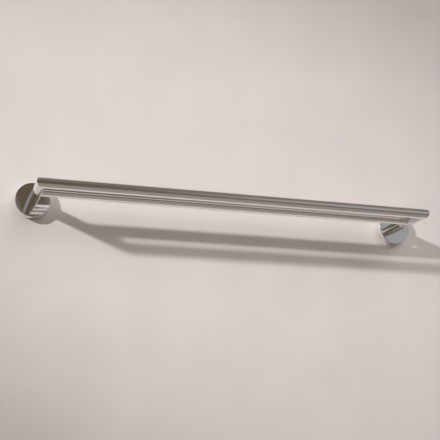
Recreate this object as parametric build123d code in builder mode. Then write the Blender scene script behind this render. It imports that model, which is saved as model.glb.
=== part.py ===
"""Double towel rail with concealed wall fixings, in millimetres.

The wall is the plane y = 0 and the rail stands out of it towards -Y. The origin is on the wall,
midway between the two wall plates. +X runs along the rails to the right, +Z is up.
"""

import os

from build123d import *

# Rails and arms, all of one round tube
arm_spacing = 700.0
front_reach = 130.0
back_reach = 78.0
tube_diameter = 19.0
tube_wall = 1.2
saddle_gap = 0.1

# Wall plates: cups with a flat face, open towards the wall
plate_diameter = 62.0
plate_depth = 16.0
plate_face = 4.0
plate_rim = 2.5
plate_edge = 0.45
plate_wall_gap = 0.3
arm_socket_depth = 1.0
arm_socket_gap = 0.1

# Plug in the wall end of each arm, and the socket screw that draws the plate onto the arm
plug_length = 20.0
plug_setback = 0.3
plug_gap = 0.05
plug_edge = 0.5
arm_screw_diameter = 6.0
arm_screw_reach = 12.0
arm_screw_head_diameter = 10.0
arm_screw_head_height = 4.0
arm_screw_head_edge = 0.6
arm_screw_key = 4.0
arm_screw_key_depth = 2.0
arm_screw_hole_gap = 0.25
thread_gap = 0.05
thread_runout = 2.0

# Wall bracket inside each plate
bracket_thickness = 7.0
bracket_gap = 0.25
bracket_edge = 0.5
bracket_bore_gap = 4.0
bracket_groove_depth = 1.2
wall_screw_hole_diameter = 5.2
wall_screw_edge = 8.25

# Grub screw under each plate
set_screw_diameter = 4.0
set_screw_sink = 0.3
set_screw_tip_diameter = 0.6
set_screw_key = 2.0
set_screw_key_depth = 1.4
set_screw_seat_gap = 0.05

# Sizes that follow from the ones above
tube_radius = tube_diameter / 2
tube_bore_radius = tube_radius - tube_wall
half_spacing = arm_spacing / 2
plate_radius = plate_diameter / 2
cup_radius = plate_radius - plate_rim
cup_floor = plate_depth - plate_face
arm_start = plate_depth - arm_socket_depth
arm_socket_radius = tube_radius + arm_socket_gap
arm_screw_radius = arm_screw_diameter / 2
arm_screw_hole_radius = arm_screw_radius + arm_screw_hole_gap
arm_screw_head_radius = arm_screw_head_diameter / 2
plug_start = arm_start + plug_setback
plug_radius = tube_bore_radius - plug_gap
plug_bore_radius = arm_screw_radius + thread_gap
arm_screw_end = plug_start + arm_screw_reach
bracket_radius = cup_radius - bracket_gap
bracket_bore_radius = arm_screw_head_radius + bracket_bore_gap
wall_screw_spacing = 2 * (bracket_radius - wall_screw_edge)
groove_middle = bracket_thickness / 2
groove_floor = bracket_radius - bracket_groove_depth
set_screw_radius = set_screw_diameter / 2
set_screw_tip_radius = set_screw_tip_diameter / 2
set_screw_tip = groove_floor + set_screw_tip_radius + set_screw_seat_gap
set_screw_shoulder = set_screw_tip + set_screw_radius - set_screw_tip_radius
set_screw_top = plate_radius - set_screw_sink

os.makedirs("parts", exist_ok=True)

# Mitre planes through the two front corners, with the front rail on the side of the normal
left_mitre = Plane(origin=(-half_spacing, -front_reach, 0), x_dir=(0, 0, 1), z_dir=(1, -1, 0))
right_mitre = Plane(origin=(half_spacing, -front_reach, 0), x_dir=(0, 0, 1), z_dir=(-1, -1, 0))

# Front rail, cut long and mitred at both ends
with BuildPart() as front_rail:
    with BuildSketch(Plane.YZ):
        with Locations((-front_reach, 0)):
            Circle(tube_radius)
            Circle(tube_bore_radius, mode=Mode.SUBTRACT)
    extrude(amount=half_spacing + tube_diameter, both=True)
    split(bisect_by=left_mitre, keep=Keep.TOP)
    split(bisect_by=right_mitre, keep=Keep.TOP)
front_rail.part.label = "front_rail"
export_step(front_rail.part, "parts/front_rail.step")

# Back rail, with saddle cuts that seat on the arms
with BuildPart() as back_rail:
    with BuildSketch(Plane.YZ):
        with Locations((-back_reach, 0)):
            Circle(tube_radius)
            Circle(tube_bore_radius, mode=Mode.SUBTRACT)
    extrude(amount=half_spacing, both=True)
    with BuildSketch(Plane.XZ.offset(back_reach)):
        with GridLocations(arm_spacing, 0, 2, 1):
            Circle(tube_radius + saddle_gap)
    extrude(amount=tube_diameter, both=True, mode=Mode.SUBTRACT)
back_rail.part.label = "back_rail"
export_step(back_rail.part, "parts/back_rail.step")

for side, x, mitre in (("left", -half_spacing, left_mitre), ("right", half_spacing, right_mitre)):
    # Section plane through the axis of this side's wall fixing: across the wall, then out of it
    section = Plane(origin=(x, 0, 0), x_dir=(1, 0, 0), z_dir=(0, 0, -1))
    fixing_axis = Axis(origin=(x, 0, 0), direction=(0, -1, 0))
    wall_plane = Plane(origin=(x, 0, 0), x_dir=(1, 0, 0), z_dir=(0, -1, 0))

    # Arm, square at the wall end and mitred in front
    with BuildPart() as arm:
        with BuildSketch(wall_plane.offset(arm_start)):
            Circle(tube_radius)
            Circle(tube_bore_radius, mode=Mode.SUBTRACT)
        extrude(amount=front_reach - arm_start + tube_diameter)
        split(bisect_by=mitre, keep=Keep.BOTTOM)
    arm.part.label = f"{side}_arm"
    export_step(arm.part, f"parts/{side}_arm.step")

    # Wall plate: a turned cup with a shallow socket for the arm and a hole for the grub screw
    with BuildPart() as plate:
        with BuildSketch(section):
            with BuildLine():
                Polyline(
                    (arm_screw_hole_radius, cup_floor),
                    (cup_radius, cup_floor),
                    (cup_radius, plate_wall_gap),
                    (plate_radius, plate_wall_gap),
                    (plate_radius, plate_depth),
                    (arm_socket_radius, plate_depth),
                    (arm_socket_radius, arm_start),
                    (arm_screw_hole_radius, arm_start),
                    close=True,
                )
            make_face()
        revolve(axis=fixing_axis)
        round_edges = plate.edges().filter_by(GeomType.CIRCLE)
        chamfer(round_edges.group_by(Axis.Y)[0].sort_by(SortBy.RADIUS)[-1], length=plate_edge)
        with BuildSketch(Plane(origin=(x, -groove_middle, -plate_radius))):
            Circle(set_screw_radius + thread_gap)
        extrude(amount=plate_rim + set_screw_diameter, mode=Mode.SUBTRACT)
    plate.part.label = f"{side}_plate"
    export_step(plate.part, f"parts/{side}_plate.step")

    # Threaded plug in the wall end of the arm, drilled for the arm screw
    with BuildPart() as plug:
        with BuildSketch(wall_plane.offset(plug_start)):
            Circle(plug_radius)
        extrude(amount=plug_length)
        chamfer(plug.edges().filter_by(GeomType.CIRCLE), length=plug_edge)
        with BuildSketch(wall_plane.offset(plug_start)):
            Circle(plug_bore_radius)
        extrude(amount=arm_screw_reach + thread_runout, mode=Mode.SUBTRACT)
    plug.part.label = f"{side}_arm_plug"
    export_step(plug.part, f"parts/{side}_arm_plug.step")

    # Socket screw from inside the plate into the plug
    with BuildPart() as arm_screw:
        with BuildSketch(wall_plane.offset(cup_floor - arm_screw_head_height)):
            Circle(arm_screw_head_radius)
        extrude(amount=arm_screw_head_height)
        chamfer(arm_screw.edges().sort_by(Axis.Y)[-1], length=arm_screw_head_edge)
        with BuildSketch(wall_plane.offset(cup_floor)):
            Circle(arm_screw_radius)
        extrude(amount=arm_screw_end - cup_floor)
        with BuildSketch(wall_plane.offset(cup_floor - arm_screw_head_height)):
            RegularPolygon(radius=arm_screw_key / 2, side_count=6, major_radius=False)
        extrude(amount=arm_screw_key_depth, mode=Mode.SUBTRACT)
    arm_screw.part.label = f"{side}_arm_screw"
    export_step(arm_screw.part, f"parts/{side}_arm_screw.step")

    # Wall bracket: a disc with a grooved edge, an opening for the arm screw and two wall screw holes
    with BuildPart() as bracket:
        with BuildSketch(wall_plane):
            Circle(bracket_radius)
            Circle(bracket_bore_radius, mode=Mode.SUBTRACT)
            with GridLocations(0, wall_screw_spacing, 1, 2):
                Circle(wall_screw_hole_diameter / 2, mode=Mode.SUBTRACT)
        extrude(amount=bracket_thickness)
        front_edges = bracket.edges().filter_by(GeomType.CIRCLE).group_by(Axis.Y)[0]
        chamfer(front_edges.sort_by(SortBy.RADIUS)[-1], length=bracket_edge)
        with BuildSketch(section):
            with BuildLine():
                Polyline(
                    (bracket_radius, groove_middle - bracket_groove_depth),
                    (groove_floor, groove_middle),
                    (bracket_radius, groove_middle + bracket_groove_depth),
                    close=True,
                )
            make_face()
        revolve(axis=fixing_axis, mode=Mode.SUBTRACT)
    bracket.part.label = f"{side}_bracket"
    export_step(bracket.part, f"parts/{side}_bracket.step")

    # Grub screw under the plate, with its cone in the bracket's groove
    with BuildPart() as set_screw:
        with BuildSketch(Plane(origin=(x, -groove_middle, 0), x_dir=(1, 0, 0), z_dir=(0, -1, 0))):
            with BuildLine():
                Polyline(
                    (0, -set_screw_tip),
                    (set_screw_tip_radius, -set_screw_tip),
                    (set_screw_radius, -set_screw_shoulder),
                    (set_screw_radius, -set_screw_top),
                    (0, -set_screw_top),
                    close=True,
                )
            make_face()
        revolve(axis=Axis(origin=(x, -groove_middle, 0), direction=(0, 0, 1)))
        with BuildSketch(Plane(origin=(x, -groove_middle, -set_screw_top))):
            RegularPolygon(radius=set_screw_key / 2, side_count=6, major_radius=False)
        extrude(amount=set_screw_key_depth, mode=Mode.SUBTRACT)
    set_screw.part.label = f"{side}_set_screw"
    export_step(set_screw.part, f"parts/{side}_set_screw.step")
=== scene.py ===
"""Looks of a double towel rail: polished chrome tube on round wall plates, seen from below.

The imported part's frame is kept: the wall is the plane y = 0, the rails stand out of it towards -Y,
+X runs along them to the right, and +Z is up. Lengths are in metres.
"""

import logging
import math
from dataclasses import dataclass, field
from enum import Enum
from typing import Callable

import bpy
import numpy as np
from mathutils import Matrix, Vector


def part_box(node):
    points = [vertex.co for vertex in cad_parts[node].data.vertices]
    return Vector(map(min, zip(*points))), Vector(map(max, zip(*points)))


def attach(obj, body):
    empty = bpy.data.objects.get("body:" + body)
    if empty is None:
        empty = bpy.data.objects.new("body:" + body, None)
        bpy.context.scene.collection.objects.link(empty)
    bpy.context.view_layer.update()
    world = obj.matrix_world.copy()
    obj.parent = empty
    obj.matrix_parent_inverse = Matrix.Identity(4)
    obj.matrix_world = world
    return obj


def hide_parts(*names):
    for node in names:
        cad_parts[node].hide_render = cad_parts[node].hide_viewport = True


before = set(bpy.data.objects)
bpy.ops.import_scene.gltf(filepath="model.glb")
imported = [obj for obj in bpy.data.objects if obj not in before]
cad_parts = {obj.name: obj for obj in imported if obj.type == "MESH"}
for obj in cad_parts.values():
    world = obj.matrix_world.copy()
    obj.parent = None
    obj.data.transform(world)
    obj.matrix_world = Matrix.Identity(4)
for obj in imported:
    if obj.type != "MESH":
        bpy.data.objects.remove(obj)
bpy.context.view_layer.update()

LOG = logging.getLogger("double_towel_rail")
BODY = "root"
MM = 0.001
X_AXIS = np.array((1.0, 0.0, 0.0))
Y_AXIS = np.array((0.0, 1.0, 0.0))
Z_AXIS = np.array((0.0, 0.0, 1.0))

# Points round a full turn, the angle past which an edge stays sharp, and the least divisor
AROUND = 192
SHARP_ANGLE = math.radians(35)
LEAST = 1e-9

# The stretch of the noise that the finishes use, and an even scale for its coordinates
NOISE_LOW, NOISE_HIGH = 0.3, 0.7
EVEN = (1.0, 1.0, 1.0)

# Sockets of a Mix node that is set to colours
MIX_SHARE, MIX_FIRST, MIX_SECOND, MIX_RESULT = 0, 6, 7, 2

Colour = tuple[float, float, float]
Triple = tuple[float, float, float]


class Side(Enum):
    """The two ends of the rail, with the sign of their x."""

    LEFT = -1
    RIGHT = 1

    @property
    def word(self) -> str:
        """Name of the side as the nodes spell it."""
        return self.name.lower()


class Slot(Enum):
    """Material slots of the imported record."""

    CHROME = "chrome"
    CAST_ZINC = "cast_zinc"
    BRASS = "brass"
    SCREW_STEEL = "screw_steel"


def node_box(node: str) -> tuple[np.ndarray, np.ndarray]:
    """Give the corners of a CAD node at rest.

    Args:
        node: name of the node.

    Returns:
        Its lowest and its highest corner, in metres.
    """
    low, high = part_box(node)
    return np.array(low), np.array(high)


def turns(count: int) -> np.ndarray:
    """Return count angles spread evenly over a full turn."""
    return np.linspace(0.0, 2.0 * math.pi, count, endpoint=False)


def lattice_quads(rows: int, columns: int) -> np.ndarray:
    """Number the quads of a lattice of points that closes in both directions.

    Quad (i, j) joins points (i, j), (i, j + 1), (i + 1, j + 1) and (i + 1, j), with both indices
    taken round, so that neither direction has a seam.

    Args:
        rows: points in the first direction.
        columns: points in the second direction.

    Returns:
        An array of shape (rows, columns, 4).
    """
    i, j = np.meshgrid(np.arange(rows), np.arange(columns), indexing="ij")
    below, beside = (i + 1) % rows, (j + 1) % columns
    corners = (i * columns + j, i * columns + beside, below * columns + beside, below * columns + j)
    return np.stack(corners, axis=-1)


def strip(loop: np.ndarray, other: np.ndarray) -> np.ndarray:
    """Join two closed loops of points with a strip of quads.

    Args:
        loop: numbers of the first loop's points.
        other: numbers of the second loop's points, as many and in the same order.

    Returns:
        An array of shape (n, 4).
    """
    return np.stack((loop, np.roll(loop, -1), np.roll(other, -1), other), axis=-1)


def signed_volume(points: np.ndarray, quads: np.ndarray) -> float:
    """Measure the volume inside closed quads: the sum of p0 . (p1 x p2) / 6 over their triangles.

    Args:
        points: array of shape (n, 3).
        quads: array of shape (m, 4).

    Returns:
        The volume, which is negative where the faces point inwards.
    """
    a, b, c, d = (points[quads[:, corner]] for corner in range(4))
    first = np.einsum("ij,ij->", a, np.cross(b, c))
    second = np.einsum("ij,ij->", a, np.cross(c, d))
    return float(first + second) / 6.0


def add_sheet(name: str, points: np.ndarray, quads: np.ndarray) -> bpy.types.Object:
    """Put quads into the scene as they are, shaded smooth up to their sharp edges.

    Args:
        name: name of the object.
        points: array of shape (n, 3), in metres.
        quads: array of shape (m, 4).

    Returns:
        The new object, at the origin.
    """
    mesh = bpy.data.meshes.new(name)
    mesh.from_pydata(points.tolist(), [], quads.tolist())
    mesh.polygons.foreach_set("use_smooth", np.ones(len(quads), dtype=bool))
    mesh.set_sharp_from_angle(angle=SHARP_ANGLE)
    mesh.validate()
    sheet = bpy.data.objects.new(name, mesh)
    bpy.context.scene.collection.objects.link(sheet)
    return sheet


def add_closed(name: str, points: np.ndarray, quads: np.ndarray) -> bpy.types.Object:
    """Put a closed surface of quads into the scene, turned as a whole so that it points outwards.

    Args:
        name: name of the piece.
        points: array of shape (n, 3), in metres.
        quads: array of shape (m, 4), which all turn the same way.

    Returns:
        The new object, at the origin.
    """
    inside_out = signed_volume(points, quads) < 0.0
    return add_sheet(name, points, quads[:, ::-1] if inside_out else quads)


class NodeBench:
    """Short hand for wiring the nodes of one material or world."""

    def __init__(self, tree: bpy.types.NodeTree) -> None:
        """Keep the tree and empty it."""
        self.tree = tree
        tree.nodes.clear()

    def add(self, kind: str, **settings: object) -> bpy.types.Node:
        """Add a node and set its properties.

        Args:
            kind: Blender's name of the node type.
            settings: properties of the node.

        Returns:
            The new node.
        """
        node = self.tree.nodes.new(kind)
        for name, value in settings.items():
            setattr(node, name, value)
        return node

    def join(self, source: bpy.types.NodeSocket, target: bpy.types.NodeSocket) -> None:
        """Link one socket to another."""
        self.tree.links.new(source, target)

    def object_point(self, scale: Triple) -> bpy.types.NodeSocket:
        """Give the object coordinates, stretched along each axis.

        Args:
            scale: factors for x, y and z.

        Returns:
            The stretched coordinates.
        """
        place = self.add("ShaderNodeTexCoord")
        stretch = self.add("ShaderNodeMapping")
        stretch.inputs["Scale"].default_value = scale
        self.join(place.outputs["Object"], stretch.inputs["Vector"])
        return stretch.outputs["Vector"]

    def noise(self, point: bpy.types.NodeSocket, scale: float,
              detail: float) -> bpy.types.NodeSocket:
        """Give soft noise at a point.

        Args:
            point: coordinates to read it at.
            scale: how many features go to a metre.
            detail: octaves of finer noise.

        Returns:
            A value around one half.
        """
        texture = self.add("ShaderNodeTexNoise")
        texture.inputs["Scale"].default_value = scale
        texture.inputs["Detail"].default_value = detail
        self.join(point, texture.inputs["Vector"])
        return texture.outputs["Fac"]

    def spread(self, value: bpy.types.NodeSocket, low: float, high: float,
               start: float = NOISE_LOW, end: float = NOISE_HIGH) -> bpy.types.NodeSocket:
        """Map a value from one range to another, without going past the ends.

        Args:
            value: the value to map.
            low: result at the start of the range.
            high: result at its end.
            start: where the range starts.
            end: where it ends.

        Returns:
            The mapped value.
        """
        mapped = self.add("ShaderNodeMapRange")
        mapped.inputs["From Min"].default_value = start
        mapped.inputs["From Max"].default_value = end
        mapped.inputs["To Min"].default_value = low
        mapped.inputs["To Max"].default_value = high
        self.join(value, mapped.inputs["Value"])
        return mapped.outputs["Result"]

    def blend(self, value: bpy.types.NodeSocket, low: Colour, high: Colour) -> bpy.types.NodeSocket:
        """Fade between two colours over the stretch of the noise that is used.

        Args:
            value: the noise.
            low: colour where the noise is low.
            high: colour where it is high.

        Returns:
            The faded colour.
        """
        ramp = self.add("ShaderNodeValToRGB")
        ends = ((NOISE_LOW, low), (NOISE_HIGH, high))
        for element, (position, colour) in zip(ramp.color_ramp.elements, ends):
            element.position = position
            element.color = (*colour, 1.0)
        self.join(value, ramp.inputs["Fac"])
        return ramp.outputs["Color"]

    def relief(self, height: bpy.types.NodeSocket, depth: float,
               strength: float) -> bpy.types.NodeSocket:
        """Tilt the surface by a height.

        Args:
            height: value of the height, where 1 is full depth.
            depth: full depth in metres.
            strength: share of the tilt that is used.

        Returns:
            The tilted normal.
        """
        bump = self.add("ShaderNodeBump")
        bump.inputs["Strength"].default_value = strength
        bump.inputs["Distance"].default_value = depth
        self.join(height, bump.inputs["Height"])
        return bump.outputs["Normal"]


@dataclass(frozen=True)
class MetalFinish:
    """A metal surface whose colour, gloss and relief drift a little from place to place.

    The noise is read at the object coordinates times grain, so unequal numbers draw it out into
    the lines that turning or plating leaves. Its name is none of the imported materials' names.
    """

    name: str
    slot: Slot
    dark: Colour
    light: Colour
    smoothest: float
    roughest: float
    grain: Triple
    grain_scale: float
    relief_depth: float
    relief_strength: float
    grain_detail: float = 6.0
    cloud_detail: float = 2.0
    grains_per_cloud: float = 12.0

    def material(self) -> bpy.types.Material:
        """Build the material, or give the one that was built before.

        Returns:
            The finish's own material.
        """
        known = bpy.data.materials.get(self.name)
        if known:
            return known
        made = bpy.data.materials.new(self.name)
        made.use_nodes = True
        bench = NodeBench(made.node_tree)
        surface = bench.add("ShaderNodeBsdfPrincipled")
        surface.inputs["Metallic"].default_value = 1.0
        grain = bench.noise(bench.object_point(self.grain), self.grain_scale, self.grain_detail)
        cloud_scale = self.grain_scale / self.grains_per_cloud
        cloud = bench.noise(bench.object_point(EVEN), cloud_scale, self.cloud_detail)
        colour = bench.blend(cloud, self.dark, self.light)
        roughness = bench.spread(grain, self.smoothest, self.roughest)
        normal = bench.relief(grain, self.relief_depth, self.relief_strength)
        bench.join(colour, surface.inputs["Base Color"])
        bench.join(roughness, surface.inputs["Roughness"])
        bench.join(normal, surface.inputs["Normal"])
        out = bench.add("ShaderNodeOutputMaterial")
        bench.join(surface.outputs["BSDF"], out.inputs["Surface"])
        return made

    def dress(self, piece: bpy.types.Object) -> bpy.types.Object:
        """Give a piece this finish as its only material.

        Args:
            piece: a new piece or a CAD node.

        Returns:
            The same piece.
        """
        piece.data.materials.clear()
        piece.data.materials.append(self.material())
        return piece


POLISHED_CHROME = MetalFinish(
    name="polished_chrome", slot=Slot.CHROME,
    dark=(0.88, 0.885, 0.89), light=(0.92, 0.92, 0.92), smoothest=0.02, roughest=0.05,
    grain=EVEN, grain_scale=160.0, relief_depth=0.01 * MM, relief_strength=0.1,
)
CAST_ZINC = MetalFinish(
    name="zinc_casting", slot=Slot.CAST_ZINC,
    dark=(0.38, 0.39, 0.40), light=(0.52, 0.53, 0.54), smoothest=0.38, roughest=0.58,
    grain=EVEN, grain_scale=900.0, relief_depth=0.12 * MM, relief_strength=0.5,
)
TURNED_BRASS = MetalFinish(
    name="turned_brass", slot=Slot.BRASS,
    dark=(0.62, 0.45, 0.19), light=(0.75, 0.57, 0.28), smoothest=0.18, roughest=0.32,
    grain=(0.3, 8.0, 0.3), grain_scale=500.0, relief_depth=0.04 * MM, relief_strength=0.4,
)
PLATED_STEEL = MetalFinish(
    name="plated_steel", slot=Slot.SCREW_STEEL,
    dark=(0.46, 0.46, 0.47), light=(0.60, 0.60, 0.61), smoothest=0.20, roughest=0.36,
    grain=(1.0, 4.0, 1.0), grain_scale=700.0, relief_depth=0.05 * MM, relief_strength=0.4,
)


def show(piece: bpy.types.Object, node: str, finish: MetalFinish) -> bpy.types.Object:
    """Dress a new piece, let it ride on the part and stand for a CAD node.

    Args:
        piece: the new piece.
        node: the node that it stands for.
        finish: its finish.

    Returns:
        The same piece.
    """
    finish.dress(piece)
    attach(piece, BODY)
    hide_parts(node)
    return piece


# How far a cut tube reaches along its axis, for a wall point at (across, up) from the axis
EndCut = Callable[[np.ndarray, np.ndarray], np.ndarray]


@dataclass
class Tube:
    """A straight tube with a shaped cut at either end."""

    name: str
    node: str
    middle: np.ndarray
    along: np.ndarray
    across: np.ndarray
    radius: float
    start: EndCut
    end: EndCut
    wall: float = 1.2 * MM
    spans: int = 24

    def lattice(self) -> np.ndarray:
        """Lay out the points of the wall: out along the outside and back along the bore.

        A point is middle + along * a + across * q cos t + Z * q sin t, where q is the outer or the
        bore radius, t goes round the tube, and a goes from the start cut to the end cut.

        Returns:
            An array of shape (rows, AROUND, 3) that closes in both directions.
        """
        share = np.linspace(0.0, 1.0, self.spans + 1)[:, None]
        turn = turns(AROUND)[None, :]
        walls = []
        for radius, way in ((self.radius, share), (self.radius - self.wall, share[::-1])):
            side, up = radius * np.cos(turn), radius * np.sin(turn)
            reach = (1.0 - way) * self.start(side, up) + way * self.end(side, up)
            parts = ((reach, self.along), (side, self.across), (up, Z_AXIS))
            walls.append(sum(size[..., None] * axis for size, axis in parts))
        return np.concatenate(walls) + self.middle

    def build(self) -> bpy.types.Object:
        """Make the tube and let it stand for its node.

        Returns:
            The new piece.
        """
        points = self.lattice()
        quads = lattice_quads(*points.shape[:2]).reshape(-1, 4)
        piece = add_closed(self.name, points.reshape(-1, 3), quads)
        return show(piece, self.node, POLISHED_CHROME)


@dataclass
class RailFrame:
    """The two rails and the two arms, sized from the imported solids.

    The arms stand at half on either side of the middle. The front and the back are the y of the
    rails' axes, and the arms start at arm_start.
    """

    saddle_gap: float = 0.1 * MM
    radius: float = field(init=False)
    half: float = field(init=False)
    front: float = field(init=False)
    back: float = field(init=False)
    arm_start: float = field(init=False)

    def __post_init__(self) -> None:
        """Read the tube's size and the axes from the boxes of the nodes."""
        low, high = node_box("front_rail")
        back_low, back_high = node_box("back_rail")
        self.radius = (high[2] - low[2]) / 2.0
        self.half = high[0] - self.radius
        self.front = (low[1] + high[1]) / 2.0
        self.back = (back_low[1] + back_high[1]) / 2.0
        self.arm_start = node_box("left_arm")[1][1]

    def build(self) -> list[bpy.types.Object]:
        """Make the four tubes, which are the two rails and then the two arms."""
        return [self.front_rail(), self.back_rail(), *(self.arm(side) for side in Side)]

    def front_rail(self) -> bpy.types.Object:
        """Make the rail with mitred ends, which reach half - across from its middle.

        Returns:
            The new piece.
        """
        return Tube(
            "front_tube", "front_rail", self.front * Y_AXIS, X_AXIS, Y_AXIS, self.radius,
            start=lambda across, up: across - self.half,
            end=lambda across, up: self.half - across,
        ).build()

    def back_rail(self) -> bpy.types.Object:
        """Make the rail with saddle ends, which stop sqrt(seat^2 - up^2) short of the arms' axes.

        Returns:
            The new piece.
        """
        seat = self.radius + self.saddle_gap
        return Tube(
            "back_tube", "back_rail", self.back * Y_AXIS, X_AXIS, Y_AXIS, self.radius,
            start=lambda across, up: np.sqrt(seat**2 - up**2) - self.half,
            end=lambda across, up: self.half - np.sqrt(seat**2 - up**2),
        ).build()

    def arm(self, side: Side) -> bpy.types.Object:
        """Make an arm, square at the wall and mitred in front, where it reaches -front - across.

        Args:
            side: the end of the rail that it stands at.

        Returns:
            The new piece.
        """
        return Tube(
            f"{side.word}_arm_tube", f"{side.word}_arm", side.value * self.half * X_AXIS,
            -Y_AXIS, -side.value * X_AXIS, self.radius,
            start=lambda across, up: np.full(np.broadcast(across, up).shape, -self.arm_start),
            end=lambda across, up: -self.front - across,
        ).build()


def arc(centre: tuple[float, float], radius: float, start: float, end: float,
        count: int = 9) -> np.ndarray:
    """Lay out points on an arc of a profile, as (radius from the axis, depth from the wall).

    A point is centre + radius * (cos t, sin t), where t goes from start to end.

    Args:
        centre: middle of the arc.
        radius: radius of the arc.
        start: first angle in degrees, from the outward direction towards the room.
        end: last angle in degrees.
        count: how many points.

    Returns:
        An array of shape (count, 2).
    """
    angle = np.radians(np.linspace(start, end, count))
    return np.array(centre) + radius * np.stack((np.cos(angle), np.sin(angle)), axis=-1)


@dataclass
class WallPlate:
    """A turned cup with a flat face, a shallow socket for its arm and a screw hole under its rim.

    Depths are measured from the wall. The patch is half the width of the square stretch of the rim
    that takes the grub screw's hole, and patch_steps are the steps across it.
    """

    side: Side
    face: float = 4.0 * MM
    rim: float = 2.5 * MM
    edge: float = 0.8 * MM
    socket_gap: float = 0.1 * MM
    screw_hole_radius: float = 3.25 * MM
    grub_hole_radius: float = 2.05 * MM
    patch: float = 3.0 * MM
    patch_steps: int = 8
    opening_gap: float = 0.5 * MM
    x: float = field(init=False)
    radius: float = field(init=False)
    depth: float = field(init=False)
    wall_gap: float = field(init=False)
    arm_start: float = field(init=False)
    socket_radius: float = field(init=False)
    grub_depth: float = field(init=False)

    def __post_init__(self) -> None:
        """Read the cup's outside and the arm's socket from the boxes of the nodes."""
        low, high = node_box(f"{self.side.word}_plate")
        arm_low, arm_high = node_box(f"{self.side.word}_arm")
        grub_low, grub_high = node_box(f"{self.side.word}_set_screw")
        self.x = (low[0] + high[0]) / 2.0
        self.radius = (high[0] - low[0]) / 2.0
        self.depth = -low[1]
        self.wall_gap = -high[1]
        self.arm_start = -arm_high[1]
        self.socket_radius = (arm_high[2] - arm_low[2]) / 2.0 + self.socket_gap
        self.grub_depth = -(grub_low[1] + grub_high[1]) / 2.0

    def wall_opening(self) -> float:
        """Give the radius of the opening in the wall behind the cup, whose edge the rim hides."""
        return self.radius - self.rim + self.opening_gap

    def profile(self) -> tuple[np.ndarray, int, int]:
        """Lay out the closed section of the cup, as (radius, depth) points.

        Returns:
            The points, and the numbers of the first points of the bore's and of the rim's stretch
            beside the grub screw, each of which spans two points.
        """
        floor, bore = self.depth - self.face, self.radius - self.rim
        low, high = self.grub_depth - self.patch, self.grub_depth + self.patch
        corner = (self.radius - self.edge, self.depth - self.edge)
        inside = [(self.screw_hole_radius, floor), (bore, floor)]
        mouth = [(bore, high), (bore, low), (bore, self.wall_gap), (self.radius, self.wall_gap)]
        outside = [(self.radius, low), (self.radius, high)]
        outside += arc(corner, self.edge, 0.0, 90.0).tolist()
        socket = [(self.socket_radius, self.depth), (self.socket_radius, self.arm_start),
                  (self.screw_hole_radius, self.arm_start)]
        points = np.array(inside + mouth + outside + socket)
        return points, len(inside), len(inside) + len(mouth)

    def angles(self) -> np.ndarray:
        """Spread angles round the axis, with a whole number of steps over the grub screw's patch.

        Returns:
            The angles, where 0 points down and those of the patch come first.
        """
        half_width = self.patch / self.radius
        inner = np.linspace(-half_width, half_width, self.patch_steps, endpoint=False)
        outer = np.linspace(half_width, 2.0 * math.pi - half_width, AROUND, endpoint=False)
        return np.concatenate((inner, outer))

    def build(self) -> bpy.types.Object:
        """Turn the section round the arm's axis, bore the grub screw's hole and show the plate.

        A point of the cup is (x + q sin t, -depth, -q cos t) for a section point (q, depth) at the
        angle t. Round the hole, the cells of the rim give way to a ring that runs from the patch's
        outline to a circle, outside and in the bore alike, and a sleeve joins the two circles.

        Returns:
            The new piece.
        """
        section, bore_row, rim_row = self.profile()
        angle = self.angles()
        rows, columns = len(section), len(angle)
        radius, depth = section[:, :1], section[:, 1:]
        points = np.stack((
            self.x + radius * np.sin(angle),
            np.broadcast_to(-depth, (rows, columns)),
            -radius * np.cos(angle),
        ), axis=-1).reshape(-1, 3)
        keep = np.ones((rows, columns), dtype=bool)
        keep[[bore_row, rim_row], :self.patch_steps] = False
        cup = lattice_quads(rows, columns)[keep]
        rim_loop = self.outline(rim_row, rim_row + 1, columns)
        bore_loop = self.outline(bore_row + 1, bore_row, columns)
        circles = [self.circle(points[loop]) for loop in (rim_loop, bore_loop)]
        rim_ring = np.arange(len(rim_loop)) + len(points)
        bore_ring = rim_ring + len(rim_loop)
        hole = (strip(rim_loop, rim_ring), strip(rim_ring, bore_ring), strip(bore_ring, bore_loop))
        points, quads = np.concatenate((points, *circles)), np.concatenate((cup, *hole))
        piece = add_closed(f"{self.side.word}_cup", points, quads)
        return show(piece, f"{self.side.word}_plate", POLISHED_CHROME)

    def outline(self, out_row: int, back_row: int, columns: int) -> np.ndarray:
        """Number the points round a patch: out along one row of the lattice, back along another."""
        step = np.arange(self.patch_steps + 1)
        return np.concatenate((out_row * columns + step, (back_row * columns + step)[::-1]))

    def circle(self, outline: np.ndarray) -> np.ndarray:
        """Move each point of a patch's outline in to the hole, towards the hole's axis.

        Args:
            outline: points round the patch, on the rim's outside or on its bore.

        Returns:
            Points at the hole's radius from its axis, as far from the plate's axis as the outline.
        """
        x, y = outline[:, 0] - self.x, outline[:, 1] + self.grub_depth
        size = self.grub_hole_radius / np.hypot(x, y)
        wall = np.hypot(x, outline[:, 2])
        side = x * size
        place = (self.x + side, y * size - self.grub_depth, -np.sqrt(wall**2 - side**2))
        return np.stack(place, axis=-1)


@dataclass
class WallFixings:
    """The pieces behind the plates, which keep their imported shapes."""

    finishes: dict[str, MetalFinish] = field(default_factory=lambda: {
        "bracket": CAST_ZINC,
        "arm_plug": TURNED_BRASS,
        "arm_screw": PLATED_STEEL,
        "set_screw": PLATED_STEEL,
    })

    def dress(self) -> list[bpy.types.Object]:
        """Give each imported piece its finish, and return the pieces."""
        return [finish.dress(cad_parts[f"{side.word}_{name}"])
                for side in Side for name, finish in self.finishes.items()]


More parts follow.
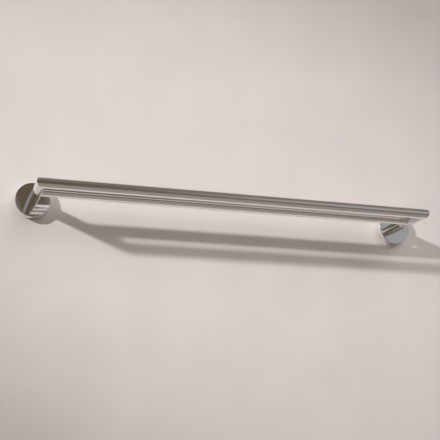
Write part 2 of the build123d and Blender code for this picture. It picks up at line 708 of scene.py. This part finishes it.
@dataclass(frozen=True)
class PaintFinish:
    """Matt paint of the backdrop, which lets a view from behind pass."""

    name: str
    dark: Colour
    light: Colour
    roughness: float = 0.8
    mottle_scale: float = 9.0
    mottle_detail: float = 4.0

    def material(self) -> bpy.types.Material:
        """Build the material: mottled paint in front, clear from behind.

        Returns:
            The new material.
        """
        made = bpy.data.materials.new(self.name)
        made.use_nodes = True
        bench = NodeBench(made.node_tree)
        paint = bench.add("ShaderNodeBsdfPrincipled")
        paint.inputs["Roughness"].default_value = self.roughness
        mottle = bench.noise(bench.object_point(EVEN), self.mottle_scale, self.mottle_detail)
        bench.join(bench.blend(mottle, self.dark, self.light), paint.inputs["Base Color"])
        clear = bench.add("ShaderNodeBsdfTransparent")
        facing = bench.add("ShaderNodeNewGeometry")
        either = bench.add("ShaderNodeMixShader")
        share, in_front, behind = either.inputs
        bench.join(facing.outputs["Backfacing"], share)
        bench.join(paint.outputs["BSDF"], in_front)
        bench.join(clear.outputs["BSDF"], behind)
        out = bench.add("ShaderNodeOutputMaterial")
        bench.join(either.outputs["Shader"], out.inputs["Surface"])
        return made


WALL_PAINT = PaintFinish("wall_paint", (0.655, 0.611, 0.598), (0.695, 0.649, 0.634))
FLOOR_PAINT = PaintFinish("floor_paint", (0.66, 0.615, 0.58), (0.71, 0.665, 0.63))


class LampKind(Enum):
    """The two sorts of lamp in the studio, as Blender names them."""

    SPOT = "SPOT"
    SOFTBOX = "AREA"


@dataclass(frozen=True)
class Lamp:
    """A lamp that points at the origin, between the plates.

    The size is its diameter, and the cone is the angle of a spot's beam or of a softbox's grid, in
    degrees. Only a mirrored lamp shows in the chrome.
    """

    name: str
    kind: LampKind
    place: Triple
    watts: float
    size: float
    cone: float = 180.0
    mirrored: bool = True

    def hang(self) -> None:
        """Put the lamp into the scene."""
        light = bpy.data.lights.new(self.name, self.kind.value)
        light.energy = self.watts
        if self.kind is LampKind.SPOT:
            light.shadow_soft_size = self.size / 2.0
            light.spot_size = math.radians(self.cone)
            light.spot_blend = 1.0
        else:
            light.shape = "DISK"
            light.size = self.size
            light.spread = math.radians(self.cone)
        lamp = bpy.data.objects.new(self.name, light)
        bpy.context.scene.collection.objects.link(lamp)
        lamp.location = self.place
        lamp.rotation_euler = (-lamp.location).to_track_quat("-Z", "Y").to_euler()
        lamp.visible_glossy = self.mirrored


KEY = Lamp("key", LampKind.SPOT, (-5.05, -3.6, 1.94), 1460.0, 0.35, cone=12.0)
FILL = Lamp("fill", LampKind.SOFTBOX, (0.9, -2.7, 1.2), 15.5, 2.4, cone=100.0, mirrored=False)
REAR = Lamp("rear", LampKind.SOFTBOX, (0.6, 1.6, 0.9), 18.0, 0.8)


@dataclass(frozen=True)
class RoomPatch:
    """A soft round patch of the room.

    It starts where the dot product of a direction and its aim is rim, and is full from inside on.
    """

    aim: Triple
    rim: float
    inside: float
    colour: Colour


RIGHT_SIDE = RoomPatch((1.0, 0.0, 0.0), 0.12, 0.34, (0.19, 0.16, 0.134))
CEILING = RoomPatch((0.0, 0.0, 1.0), 0.33, 0.95, (0.22, 0.18, 0.155))
LEFT_CARD = RoomPatch((-0.22, -0.96, 0.14), 0.958, 0.992, (0.27, 0.27, 0.27))
RIGHT_CARD = RoomPatch((0.62, -0.75, 0.22), 0.885, 0.95, (0.335, 0.337, 0.337))


@dataclass
class Studio:
    """Backdrop, floor, room, lamps and camera.

    The plates stand at half on either side of the middle, and opening is the radius of the hole in
    the wall behind each. The camera's angles are in degrees, its lens and sensor in millimetres.
    """

    half: float
    opening: float
    wall_width: float = 5.0
    wall_height: float = 3.2
    floor_drop: float = 1.2
    floor_depth: float = 3.0
    wall_paint: PaintFinish = WALL_PAINT
    floor_paint: PaintFinish = FLOOR_PAINT
    room_tone: Colour = (0.116, 0.087, 0.059)
    patches: tuple[RoomPatch, ...] = (RIGHT_SIDE, CEILING, LEFT_CARD, RIGHT_CARD)
    lamps: tuple[Lamp, ...] = (KEY, FILL, REAR)
    camera_place: Triple = (-0.5615, -1.7952, -0.4772)
    camera_pitch: float = 104.046
    camera_heading: float = -17.329
    camera_lens: float = 85.12
    camera_sensor: float = 36.0

    def build(self) -> None:
        """Set up everything that isn't part of the object."""
        self.wall()
        self.floor()
        self.room()
        for lamp in self.lamps:
            lamp.hang()
        self.camera()

    def wall(self) -> None:
        """Make the wall plane, with a round opening behind each plate so that its back takes light.

        Each half of the wall is a strip between a circle and a rectangle: the point at the angle t
        on the rectangle is the direction of t, stretched until it meets the nearest side.
        """
        turn = turns(AROUND)
        ray = np.stack((np.cos(turn), np.sin(turn)), axis=-1)
        slope = np.maximum(np.abs(ray), LEAST)
        number = np.arange(AROUND)
        points, quads = [], []
        for side in Side:
            outwards = ray[:, 0] * side.value > 0.0
            width = np.where(outwards, self.wall_width / 2.0 - self.half, self.half)
            stretch = np.minimum(width / slope[:, 0], self.wall_height / 2.0 / slope[:, 1])
            first = AROUND * len(points)
            for size in (np.full(AROUND, self.opening), stretch):
                x, z = ray[:, 0] * size, ray[:, 1] * size
                points.append(np.stack((x + side.value * self.half, np.zeros(AROUND), z), axis=-1))
            quads.append(strip(number + first, number + first + AROUND))
        wall = add_sheet("wall", np.concatenate(points), np.concatenate(quads)[:, ::-1])
        wall.data.materials.append(self.wall_paint.material())

    def floor(self) -> None:
        """Make a plain pale floor, a rectangle that also runs on behind the wall."""
        half, front, level = self.wall_width / 2.0, -self.floor_depth, -self.floor_drop
        points = np.array((
            (-half, front, level), (half, front, level), (half, half, level), (-half, half, level),
        ))
        floor = add_sheet("floor", points, np.array(((0, 1, 2, 3),)))
        floor.data.materials.append(self.floor_paint.material())

    def room(self) -> None:
        """Fill the rest of the room with a dim brown, and lay the patches over it in turn.

        The share of a patch grows with the dot product of the direction and the patch's aim.
        """
        world = bpy.data.worlds.new("room")
        bpy.context.scene.world = world
        world.use_nodes = True
        bench = NodeBench(world.node_tree)
        place = bench.add("ShaderNodeTexCoord").outputs["Generated"]
        tone = bench.add("ShaderNodeRGB").outputs["Color"]
        tone.default_value = (*self.room_tone, 1.0)
        for patch in self.patches:
            dot = bench.add("ShaderNodeVectorMath", operation="DOT_PRODUCT")
            dot.inputs[1].default_value = Vector(patch.aim).normalized()
            bench.join(place, dot.inputs[0])
            share = bench.spread(dot.outputs["Value"], 0.0, 1.0, patch.rim, patch.inside)
            mix = bench.add("ShaderNodeMix", data_type="RGBA")
            bench.join(share, mix.inputs[MIX_SHARE])
            bench.join(tone, mix.inputs[MIX_FIRST])
            mix.inputs[MIX_SECOND].default_value = (*patch.colour, 1.0)
            tone = mix.outputs[MIX_RESULT]
        sky = bench.add("ShaderNodeBackground")
        bench.join(tone, sky.inputs["Color"])
        out = bench.add("ShaderNodeOutputWorld")
        bench.join(sky.outputs["Background"], out.inputs["Surface"])

    def camera(self) -> None:
        """Set the camera below and to the left of the rails, looking up at them."""
        lens = bpy.data.cameras.new("camera")
        lens.lens = self.camera_lens
        lens.sensor_width = self.camera_sensor
        camera = bpy.data.objects.new("camera", lens)
        bpy.context.scene.collection.objects.link(camera)
        camera.location = self.camera_place
        pitch, heading = math.radians(self.camera_pitch), math.radians(self.camera_heading)
        camera.rotation_euler = (pitch, 0.0, heading)
        bpy.context.scene.camera = camera


def main() -> None:
    """Build the rails, the plates, their fixings and the studio, in that order."""
    logging.basicConfig(level=logging.INFO, format="%(name)s: %(message)s")
    bpy.context.scene.view_settings.view_transform = "Standard"
    rails = RailFrame()
    plates = [WallPlate(side) for side in Side]
    pieces = rails.build() + [plate.build() for plate in plates] + WallFixings().dress()
    for piece in pieces:
        finish = piece.active_material.name
        LOG.info("%s: %d faces, in %s", piece.name, len(piece.data.polygons), finish)
    Studio(half=rails.half, opening=plates[0].wall_opening()).build()


if __name__ == "__main__":
    main()
